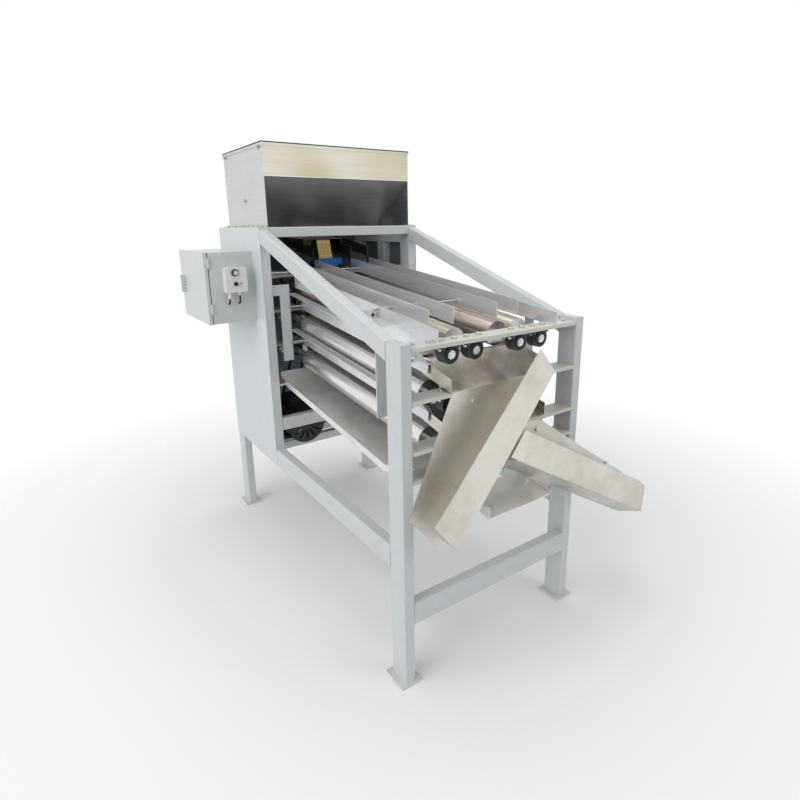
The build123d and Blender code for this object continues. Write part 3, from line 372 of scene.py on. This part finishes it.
# Front faces of the bearings: race, seal and grease nipple, with a collar and end cap on each journal
def bearing_faces():
    tilt = Vector((0, -math.cos(SLOPE), -math.sin(SLOPE)))
    lean = Vector((-0.72, -0.4, 0.57)).normalized()
    nipple_out, nipple_back, nipple_up, cap_out = 22.0, 6.0, 14.0, 0.0022
    races, seals, nipples = bmesh.new(), bmesh.new(), bmesh.new()
    y = FRONT_BLOCK_Y - BEARING_FACE
    for tier in range(TIERS):
        for x in ROLLER_X:
            spot = at(x, y, axis_at(tier, y))
            ring(races, spot, tilt, ((-3, 25.4), (2.6, 25.4), (3.0, 24.8), (3.0, 22.4), (-3, 22.0)))
            ring(seals, spot, tilt, ((-3, 22.2), (2.2, 22.2), (2.6, 21.0), (2.2, 15.4), (-3, 15.4)))
            nipple = at(x - nipple_out, y + nipple_back, axis_at(tier, y) + nipple_up)
            turned(nipples, nipple, lean, ((-3, 3.2), (4, 3.2), (4.2, 2.2), (7, 2.0), (7.6, 2.6), (9.4, 2.4),
                                           (10.4, 1.2)), 12)
    piece("front_bearing_races", races, black_rubber)
    piece("front_bearing_seals", seals, black_rubber)
    piece("front_grease_nipples", nipples, brass)
    y = FRONT_BLOCK_Y - COLLAR_FACE
    for tier in range(TIERS):
        for place, x in enumerate(ROLLER_X):
            name = f"roller_{tier + 1}{'abcd'[place]}"
            spot = at(x, y, axis_at(tier, y))
            collar = bmesh.new()
            ring(collar, spot, tilt, ((0, 14.2), (2.0, 14.2), (2.4, 13.8), (2.4, 10.05), (0, 10.05)))
            cap = ((0.1, 9.9), (2.6, 9.9), (3.2, 9.2), (3.2, 3.2), (1.0, 0.6))
            turned(collar, spot + tilt * cap_out, tilt, cap)
            piece(f"{name}_collar", collar, bright_steel, name)


# Bolt heads of the hopper, the side sheets and the chutes
def sheet_fasteners():
    shape = bmesh.new()
    flange_level = bar_low(0, FRONT_BLOCK_Y) + BAR_THICK + 2.2
    for mirror in (-1, 1):
        for y in FLANGE_BOLTS:
            hex_head(shape, at(mirror * FLANGE_X, y, FLANGE_TOP), UP, 13.0, 5.0)
        for x, y, z in HOPPER_SIDE_BOLTS:
            hex_head(shape, at(mirror * x, y, z), (mirror, 0, 0), 13.0, 4.5)
        for x in SIDE_SHEET_BOLTS_X:
            hex_head(shape, at(mirror * x, SIDE_SHEET_BOLTS_Y, flange_level), UP, 13.0, 5.0)
    piece("sheet_bolts", shape, zinc)
    shape = bmesh.new()
    for x, z in CHUTE_BOLTS:
        hex_head(shape, at(x, CHUTE_BOLTS_Y, z), FRONT, 13.0, 4.6, 1.2)
    piece("chute_bolts", shape, zinc)


# Box from two opposite corners in millimetres
def box(shape, x0, x1, y0, y1, z0, z1):
    foot = ((x0, y0), (x1, y0), (x1, y1), (x0, y1))
    spots = [shape.verts.new(at(x, y, z)) for z in (z0, z1) for x, y in foot]
    for face in ((0, 1, 2, 3), (7, 6, 5, 4), (0, 4, 5, 1), (1, 5, 6, 2), (2, 6, 7, 3), (3, 7, 4, 0)):
        shape.faces.new([spots[k] for k in face])


# Steep curved sheets in the catch trays, from their front edges up to the roller ends
def catch_sheets():
    shape = bmesh.new()
    half, thick, front, rear, steps = 212.0, 1.6, 2.0, 114.0, 14
    lean, bend, lip_long, lip_rise, over_bar = math.radians(22), math.radians(27), 12.0, 3.0, 2.8
    step = (rear - front) / steps
    across = ((-half, 0), (half, 0), (half, thick), (-half, thick))
    for tier in (1, 2):
        y, z = front, bar_low(tier, FRONT_BLOCK_Y) + BAR_THICK + over_bar
        profile = [(y, z)]
        for k in range(steps):
            z += step * math.tan(lean + bend * k / (steps - 1))
            y += step
            profile.append((y, z))
        profile.append((y + lip_long, z + lip_rise))
        loft(shape, [[shape.verts.new(at(x, y, z + up)) for x, up in across] for y, z in profile])
    piece("catch_sheets", shape, catch_steel)


# Thin dark edging along the top of the hopper's rim
def hopper_edging():
    shape = bmesh.new()
    half, front, rear, out, low, high = 363.0, 1042.0, 1558.0, 0.5, 1815.5, 1820.0
    for y0, y1 in ((front - out, front), (rear, rear + out)):
        box(shape, -half - out, half + out, y0, y1, low, high)
    for x0, x1 in ((-half - out, -half), (half, half + out)):
        box(shape, x0, x1, front, rear, low, high)
    piece("hopper_edging", shape, black_rubber)


# Black seal round the opening of the control box
def door_seal():
    shape = bmesh.new()
    wide, thick = 8.0, 3.6
    y0, y1, z0, z1 = BOX_EDGE
    for low, high in ((z0, z0 + wide), (z1 - wide, z1)):
        box(shape, BOX_LEFT - thick, BOX_LEFT, y0, y1, low, high)
    for low, high in ((y0, y0 + wide), (y1 - wide, y1)):
        box(shape, BOX_LEFT - thick, BOX_LEFT, low, high, z0 + wide, z1 - wide)
    piece("door_seal", shape, black_rubber)


# Small nut on a rod that runs along X; the place is the face it is tightened against
def rod_nut(shape, x, y, z, out, across=5.8, high=5.0, inner=3.1):
    ring(shape, at(x, y, z), (out, 0, 0), ((0.1, inner), (0.1, across), (high, across), (high, inner)), 6)


# Nuts on the rods: at the lower guides, their strips, the plates over the top tier and the side sheets
def rod_nuts():
    shape = bmesh.new()
    for mirror in (-1, 1):
        for x, y in STRIPS:
            for tier in range(GUIDED_TIERS):
                z = axis_at(tier, y) - ROD_DROP
                for spot in (LOWER_GUIDE_FACE, x + STRIP_FACE):
                    rod_nut(shape, mirror * spot, y, z, mirror)
        for y in GUIDE_RODS:
            z = axis_at(0, y) + GUIDE_ROD_LEVEL
            for x in ROLLER_X:
                rod_nut(shape, x if mirror > 0 else x - SHEET, y, z, mirror)
    z = axis_at(0, GUIDE_RODS[0]) + GUIDE_ROD_LEVEL
    for mirror in (-1, 1):
        rod_nut(shape, mirror * (SIDE_WALL_X + SHEET), GUIDE_RODS[0], z, mirror)
    piece("rod_nuts", shape, zinc)


# Clamp handles with black grips on the two ends of the front guide rod
def clamp_handles():
    metal, grips = bmesh.new(), bmesh.new()
    out, arm_out, grip_along = SIDE_WALL_X + SHEET + 6.0, 0.004, 0.016
    y = GUIDE_RODS[0]
    z = axis_at(0, y) + GUIDE_ROD_LEVEL
    for mirror in (-1, 1):
        hub = at(mirror * out, y, z)
        turned(metal, hub, (mirror, 0, 0), ((0.2, 7.0), (8.0, 7.0), (9.0, 6.0)), 20)
        way = Vector((0, 0.5, -1)).normalized()
        arm = hub + Vector((mirror * arm_out, 0, 0))
        turned(metal, arm, way, ((5.0, 2.4), (16.0, 2.4)), 12)
        grip = ((0, 3.4), (2, 4.6), (16, 5.4), (20, 4.6), (21.5, 2.0))
        turned(grips, arm + way * grip_along, way, grip, 16)
    piece("clamp_handles", metal, zinc)
    piece("clamp_grips", grips, black_plastic)


# Weld bead along a line, rippled
def bead(shape, start, stop, radius=2.6, sides=8):
    start, stop = Vector(start), Vector(stop)
    steps = max(int((stop - start).length / 0.0035), 4)
    turn = Vector((0, 0, 1)).rotation_difference(stop - start).to_matrix()
    angles = [2 * math.pi * n / sides for n in range(sides)]
    rows = []
    for k in range(steps + 1):
        swell = radius * (0.82 + 0.18 * abs(math.sin(k * 1.3)) + random.uniform(-0.05, 0.05)) / 1000
        swell *= 0.5 if k in (0, steps) else 1.0
        middle = start.lerp(stop, k / steps)
        rows.append([shape.verts.new(middle + turn @ Vector((swell * math.cos(a), swell * math.sin(a), 0)))
                     for a in angles])
    loft(shape, rows)


# Welds of the side rails, the braces, the low rail, the front bars and the foot plates
def welds():
    shape = bmesh.new()
    inner = HALF_WIDTH - TUBE
    for mirror in (-1, 1):
        x0, x1, x2 = mirror * (HALF_WIDTH - 1), mirror * (inner + 1), mirror * inner
        for z in SIDE_RAIL:
            for y in (FRONT_LEG[1], REAR_LEG[0]):
                bead(shape, at(x0, y, z), at(x1, y, z))
        for y, levels in BRACE_ENDS:
            for z in levels:
                bead(shape, at(x0, y, z), at(x1, y, z))
        for z in LOW_RAIL:
            bead(shape, at(x2, 1, z), at(x2, TUBE - 1, z))
        bead(shape, at(x2, 0.5, LOW_RAIL[0] + 2), at(x2, 0.5, LOW_RAIL[1] - 2), 2.0)
        for tier in range(TIERS):
            for z in (bar_low(tier, FRONT_BLOCK_Y), bar_low(tier, FRONT_BLOCK_Y) + BAR_THICK):
                bead(shape, at(x2, 2, z), at(x2, BAR_DEEP - 2, z), 2.0)
        for y0, y1 in (FRONT_LEG, REAR_LEG):
            for y in (y0, y1):
                bead(shape, at(x0, y, FOOT_WELD), at(x1, y, FOOT_WELD))
            for x in (mirror * HALF_WIDTH, x2):
                bead(shape, at(x, y0 + 1, FOOT_WELD), at(x, y1 - 1, FOOT_WELD))
    piece("weld_beads", shape, paint)


# Scale ring round the dial with its ticks, and the controller's screws
def controller_parts():
    plate, ticks, screws = bmesh.new(), bmesh.new(), bmesh.new()
    ring(plate, at(DIAL_X, CONTROLLER_FRONT - 0.05, DIAL_Z), FRONT,
         ((0, 15.5), (7.0, 15.0), (8.0, 14.2), (8.0, 11.2), (0, 10.6)), 40)
    piece("dial_ring", plate, dial_blue)
    marks, first, sweep, inner, outer = 11, 225, 270, 0.017, 0.0195
    middle = at(DIAL_X, CONTROLLER_FRONT - 0.3, DIAL_Z)
    for k in range(marks):
        angle = math.radians(first - sweep / (marks - 1) * k)
        way = Vector((math.cos(angle), 0, math.sin(angle)))
        bead(ticks, middle + way * inner, middle + way * outer, 0.4, 6)
    piece("dial_ticks", ticks, black_plastic)
    head = ((0, 2.8), (0.8, 2.6), (1.4, 1.6), (1.5, 0.4))
    for x in (CONTROLLER_X[0] + SCREW_INSET, CONTROLLER_X[1] - SCREW_INSET):
        for z in (CONTROLLER_Z[0] + SCREW_INSET, CONTROLLER_Z[1] - SCREW_INSET):
            turned(screws, at(x, CONTROLLER_FRONT - 0.1, z), FRONT, head, 16)
    piece("controller_screws", screws, zinc)


# Bolts of the leaf springs, square to their lean
def spring_bolts():
    shape = bmesh.new()
    outward = (0, -math.cos(SPRING_LEAN), math.sin(SPRING_LEAN))
    for foot in SPRING_FEET:
        for z in SPRING_BOLTS_Z:
            y = foot + (z - SPRING_FOOT_LEVEL) * math.tan(SPRING_LEAN) - 0.2
            for x in SPRING_BOLTS_X:
                hex_head(shape, at(x, y, z), outward, 8.0, 3.4, 1.0)
    piece("spring_bolts", shape, zinc)


block_bolts()
bearing_faces()
sheet_fasteners()
rod_nuts()
clamp_handles()
catch_sheets()
hopper_edging()
door_seal()
roller_ends()
hopper_faces()
cover_faces()
welds()
controller_parts()
spring_bolts()
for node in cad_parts.values():
    smooth(node)


# Pale floor that fades out into the white surroundings
def stage():
    data = bpy.data.meshes.new("floor")
    reach = 14.0
    data.from_pydata([(-reach, -reach, 0), (reach, -reach, 0), (reach, reach, 0), (-reach, reach, 0)], [],
                     [(0, 1, 2, 3)])
    floor = bpy.data.objects.new("floor", data)
    bpy.context.scene.collection.objects.link(floor)
    floor.location.z = -0.0005
    look = bpy.data.materials.new("floor_white")
    look.use_nodes = True
    nodes, links = look.node_tree.nodes, look.node_tree.links
    shader = nodes["Principled BSDF"]
    shader.inputs["Base Color"].default_value = colour(244, 244, 244)
    shader.inputs["Roughness"].default_value = 0.9
    place = nodes.new("ShaderNodeTexCoord")
    distance = nodes.new("ShaderNodeVectorMath")
    distance.operation = "LENGTH"
    fade = nodes.new("ShaderNodeMapRange")
    fade.inputs["From Min"].default_value = 1.0
    fade.inputs["From Max"].default_value = 2.7
    clear = nodes.new("ShaderNodeBsdfTransparent")
    blend = nodes.new("ShaderNodeMixShader")
    links.new(place.outputs["Object"], distance.inputs[0])
    links.new(distance.outputs["Value"], fade.inputs["Value"])
    links.new(fade.outputs["Result"], blend.inputs["Fac"])
    links.new(shader.outputs["BSDF"], blend.inputs[1])
    links.new(clear.outputs["BSDF"], blend.inputs[2])
    links.new(blend.outputs["Shader"], nodes["Material Output"].inputs["Surface"])
    data.materials.append(look)


# Round lamp aimed at a place; one that isn't mirrored stays out of reflections
def lamp(name, place, aim, size, power, mirrored=True):
    light = bpy.data.lights.new(name, "AREA")
    light.shape = "DISK"
    light.size = size
    light.energy = power
    made = bpy.data.objects.new(name, light)
    made.location = place
    made.rotation_euler = (Vector(aim) - Vector(place)).to_track_quat("-Z", "Y").to_euler()
    made.visible_glossy = mirrored
    bpy.context.scene.collection.objects.link(made)


# White to the camera and almost white in reflections, with a softer light on the surfaces, and three lamps
def lighting():
    world = bpy.data.worlds.new("studio")
    bpy.context.scene.world = world
    world.use_nodes = True
    nodes, links = world.node_tree.nodes, world.node_tree.links
    soft = nodes["Background"]
    soft.inputs["Color"].default_value = (0.93, 0.96, 1.0, 1.0)
    soft.inputs["Strength"].default_value = 0.52
    white = nodes.new("ShaderNodeBackground")
    white.inputs["Color"].default_value = (1.0, 1.0, 1.0, 1.0)
    white.inputs["Strength"].default_value = 1.0
    rays = nodes.new("ShaderNodeLightPath")
    seen = nodes.new("ShaderNodeMath")
    seen.operation = "MAXIMUM"
    clear = nodes.new("ShaderNodeMath")
    clear.operation = "MAXIMUM"
    glossy = nodes.new("ShaderNodeMath")
    glossy.operation = "MULTIPLY"
    glossy.inputs[1].default_value = 0.92
    links.new(rays.outputs["Is Glossy Ray"], glossy.inputs[0])
    links.new(rays.outputs["Is Camera Ray"], seen.inputs[0])
    links.new(glossy.outputs["Value"], seen.inputs[1])
    links.new(seen.outputs["Value"], clear.inputs[0])
    links.new(rays.outputs["Is Transmission Ray"], clear.inputs[1])
    blend = nodes.new("ShaderNodeMixShader")
    links.new(clear.outputs["Value"], blend.inputs["Fac"])
    links.new(soft.outputs["Background"], blend.inputs[1])
    links.new(white.outputs["Background"], blend.inputs[2])
    links.new(blend.outputs["Shader"], nodes["World Output"].inputs["Surface"])
    middle = (0.0, 0.0, 0.9)
    lamp("key", (-4.6, -0.6, 3.4), middle, size=5.6, power=139, mirrored=False)
    lamp("fill", (2.6, -4.8, 2.6), middle, size=3.5, power=45, mirrored=False)
    lamp("top", (0.2, 0.2, 4.6), middle, size=4.0, power=48)


# Camera where the photograph was taken from
def camera():
    data = bpy.data.cameras.new("camera")
    data.sensor_width = 36.0
    data.lens = CAMERA_LENS
    data.shift_x, data.shift_y = CAMERA_SHIFT
    made = bpy.data.objects.new("camera", data)
    made.location = CAMERA_PLACE
    made.rotation_euler = Euler([math.radians(a) for a in CAMERA_TURN], "XYZ")
    bpy.context.scene.collection.objects.link(made)
    bpy.context.scene.camera = made


stage()
lighting()
camera()
bpy.context.scene.view_settings.view_transform = "Standard"
